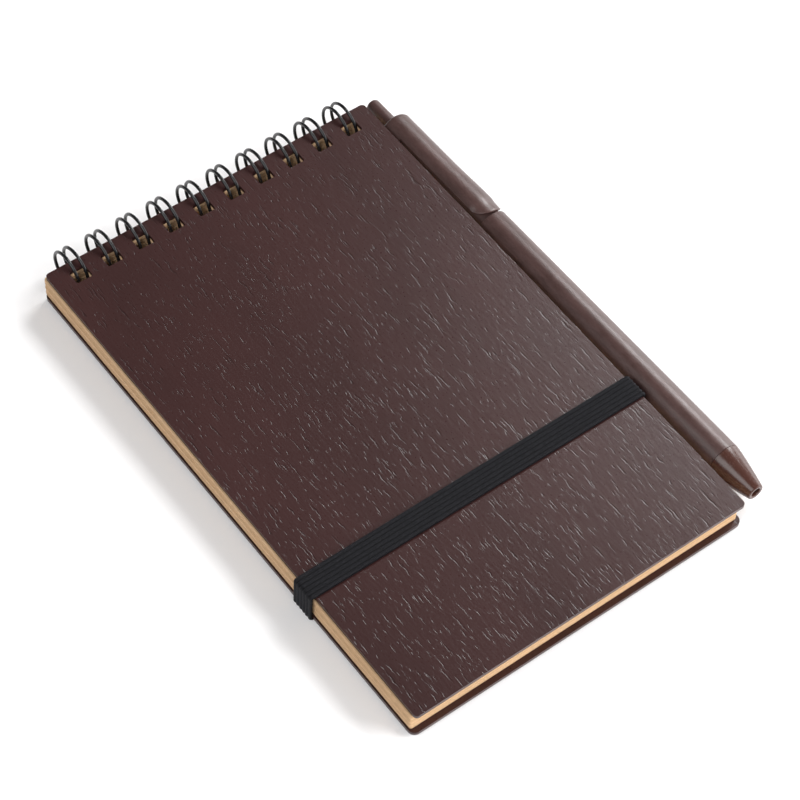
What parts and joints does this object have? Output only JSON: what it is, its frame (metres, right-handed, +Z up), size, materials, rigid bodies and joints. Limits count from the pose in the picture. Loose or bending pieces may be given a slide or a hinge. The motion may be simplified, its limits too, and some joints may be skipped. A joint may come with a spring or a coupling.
{
  "type": "wire-bound pocket sketchbook with pen",
  "caption": "Pocket sketchbook with board covers and kraft leaves on a twin-loop wire, an elastic closure band and a retractable ball pen lying beside it.",
  "frame": {"origin": "middle of the footprint of the sketchbook and its pen, on the surface they lie on", "axes": "+X to the pen's side, +Y to the wire-bound edge, +Z up out of the front cover"},
  "size_m": [0.1016, 0.1462, 0.0104],
  "materials": {
    "cover_board": "embossed with short wood-grain dashes, satin",
    "kraft_paper": "uncoated kraft",
    "black_wire": "semi-gloss black coating",
    "elastic": "ribbed woven elastic",
    "pen_shell": "satin, faintly mottled",
    "pen_gloss": "glossy",
    "white_plastic": "plain",
    "refill_plastic": "translucent",
    "ink": "wet",
    "point_brass": "turned",
    "steel": "bright"
  },
  "bodies": {
    "pad_back": {"back_cover": "cover_board", "binding_wire": "black_wire", "closure_band": "elastic"},
    "front_cover": {"front_cover": "cover_board"},
    "leaves_01": {"leaf_bundle_01": "kraft_paper"},
    "leaves_02": {"leaf_bundle_02": "kraft_paper"},
    "leaves_03": {"leaf_bundle_03": "kraft_paper"},
    "leaves_04": {"leaf_bundle_04": "kraft_paper"},
    "leaves_05": {"leaf_bundle_05": "kraft_paper"},
    "leaves_06": {"leaf_bundle_06": "kraft_paper"},
    "leaves_07": {"leaf_bundle_07": "kraft_paper"},
    "leaves_08": {"leaf_bundle_08": "kraft_paper"},
    "leaves_09": {"leaf_bundle_09": "kraft_paper"},
    "leaves_10": {"leaf_bundle_10": "kraft_paper"},
    "pen_case": {"pen_barrel": "pen_shell", "pen_nose_cone": "pen_gloss", "pen_clip_cap": "pen_shell", "pen_cam_sleeve": "white_plastic", "refill_spring": "steel"},
    "pen_button": {"pen_push_button": "pen_shell"},
    "pen_refill": {"refill_tube": "refill_plastic", "refill_ink": "ink", "refill_point": "point_brass", "refill_ball": "steel", "pen_rotor": "white_plastic"}
  },
  "joints": [
    {"name": "cover_hinge", "type": "hinge", "parent": "pad_back", "child": "front_cover", "pos_m": [-0.00429, 0.06746, 0.00473], "axis": [-1, 0, 0], "range_deg": [0, 180], "deforming": ["closure_band"]},
    {"name": "leaf_hinge_01", "type": "hinge", "parent": "pad_back", "child": "leaves_01", "pos_m": [-0.00429, 0.06746, 0.00473], "axis": [-1, 0, 0], "range_deg": [0, 180]},
    {"name": "leaf_hinge_02", "type": "hinge", "parent": "pad_back", "child": "leaves_02", "pos_m": [-0.00429, 0.06746, 0.00473], "axis": [-1, 0, 0], "range_deg": [0, 180]},
    {"name": "leaf_hinge_03", "type": "hinge", "parent": "pad_back", "child": "leaves_03", "pos_m": [-0.00429, 0.06746, 0.00473], "axis": [-1, 0, 0], "range_deg": [0, 180]},
    {"name": "leaf_hinge_04", "type": "hinge", "parent": "pad_back", "child": "leaves_04", "pos_m": [-0.00429, 0.06746, 0.00473], "axis": [-1, 0, 0], "range_deg": [0, 180]},
    {"name": "leaf_hinge_05", "type": "hinge", "parent": "pad_back", "child": "leaves_05", "pos_m": [-0.00429, 0.06746, 0.00473], "axis": [-1, 0, 0], "range_deg": [0, 180]},
    {"name": "leaf_hinge_06", "type": "hinge", "parent": "pad_back", "child": "leaves_06", "pos_m": [-0.00429, 0.06746, 0.00473], "axis": [-1, 0, 0], "range_deg": [0, 180]},
    {"name": "leaf_hinge_07", "type": "hinge", "parent": "pad_back", "child": "leaves_07", "pos_m": [-0.00429, 0.06746, 0.00473], "axis": [-1, 0, 0], "range_deg": [0, 180]},
    {"name": "leaf_hinge_08", "type": "hinge", "parent": "pad_back", "child": "leaves_08", "pos_m": [-0.00429, 0.06746, 0.00473], "axis": [-1, 0, 0], "range_deg": [0, 180]},
    {"name": "leaf_hinge_09", "type": "hinge", "parent": "pad_back", "child": "leaves_09", "pos_m": [-0.00429, 0.06746, 0.00473], "axis": [-1, 0, 0], "range_deg": [0, 180]},
    {"name": "leaf_hinge_10", "type": "hinge", "parent": "pad_back", "child": "leaves_10", "pos_m": [-0.00429, 0.06746, 0.00473], "axis": [-1, 0, 0], "range_deg": [0, 180]},
    {"name": "pen_pull_away", "type": "slide", "parent": "pad_back", "child": "pen_case", "axis": [1, 0, 0], "range_m": [0, 0.04]},
    {"name": "button_press", "type": "slide", "parent": "pen_case", "child": "pen_button", "axis": [0.0151, -0.9999, 0], "range_m": [0, 0.0045], "stiffness_N_per_m": 150, "springref_m": -0.002, "deforming": ["refill_spring"]},
    {"name": "refill_advance", "type": "slide", "parent": "pen_case", "child": "pen_refill", "axis": [0.0151, -0.9999, 0], "range_m": [0, 0.0045]}
  ],
  "couplings": [
    {"joint": "leaf_hinge_01", "follows": "cover_hinge", "ratio": 0.9091},
    {"joint": "leaf_hinge_02", "follows": "cover_hinge", "ratio": 0.8182},
    {"joint": "leaf_hinge_03", "follows": "cover_hinge", "ratio": 0.7273},
    {"joint": "leaf_hinge_04", "follows": "cover_hinge", "ratio": 0.6364},
    {"joint": "leaf_hinge_05", "follows": "cover_hinge", "ratio": 0.5455},
    {"joint": "leaf_hinge_06", "follows": "cover_hinge", "ratio": 0.4545},
    {"joint": "leaf_hinge_07", "follows": "cover_hinge", "ratio": 0.3636},
    {"joint": "leaf_hinge_08", "follows": "cover_hinge", "ratio": 0.2727},
    {"joint": "leaf_hinge_09", "follows": "cover_hinge", "ratio": 0.1818},
    {"joint": "leaf_hinge_10", "follows": "cover_hinge", "ratio": 0.0909},
    {"joint": "refill_advance", "follows": "button_press", "ratio": 1}
  ]
}
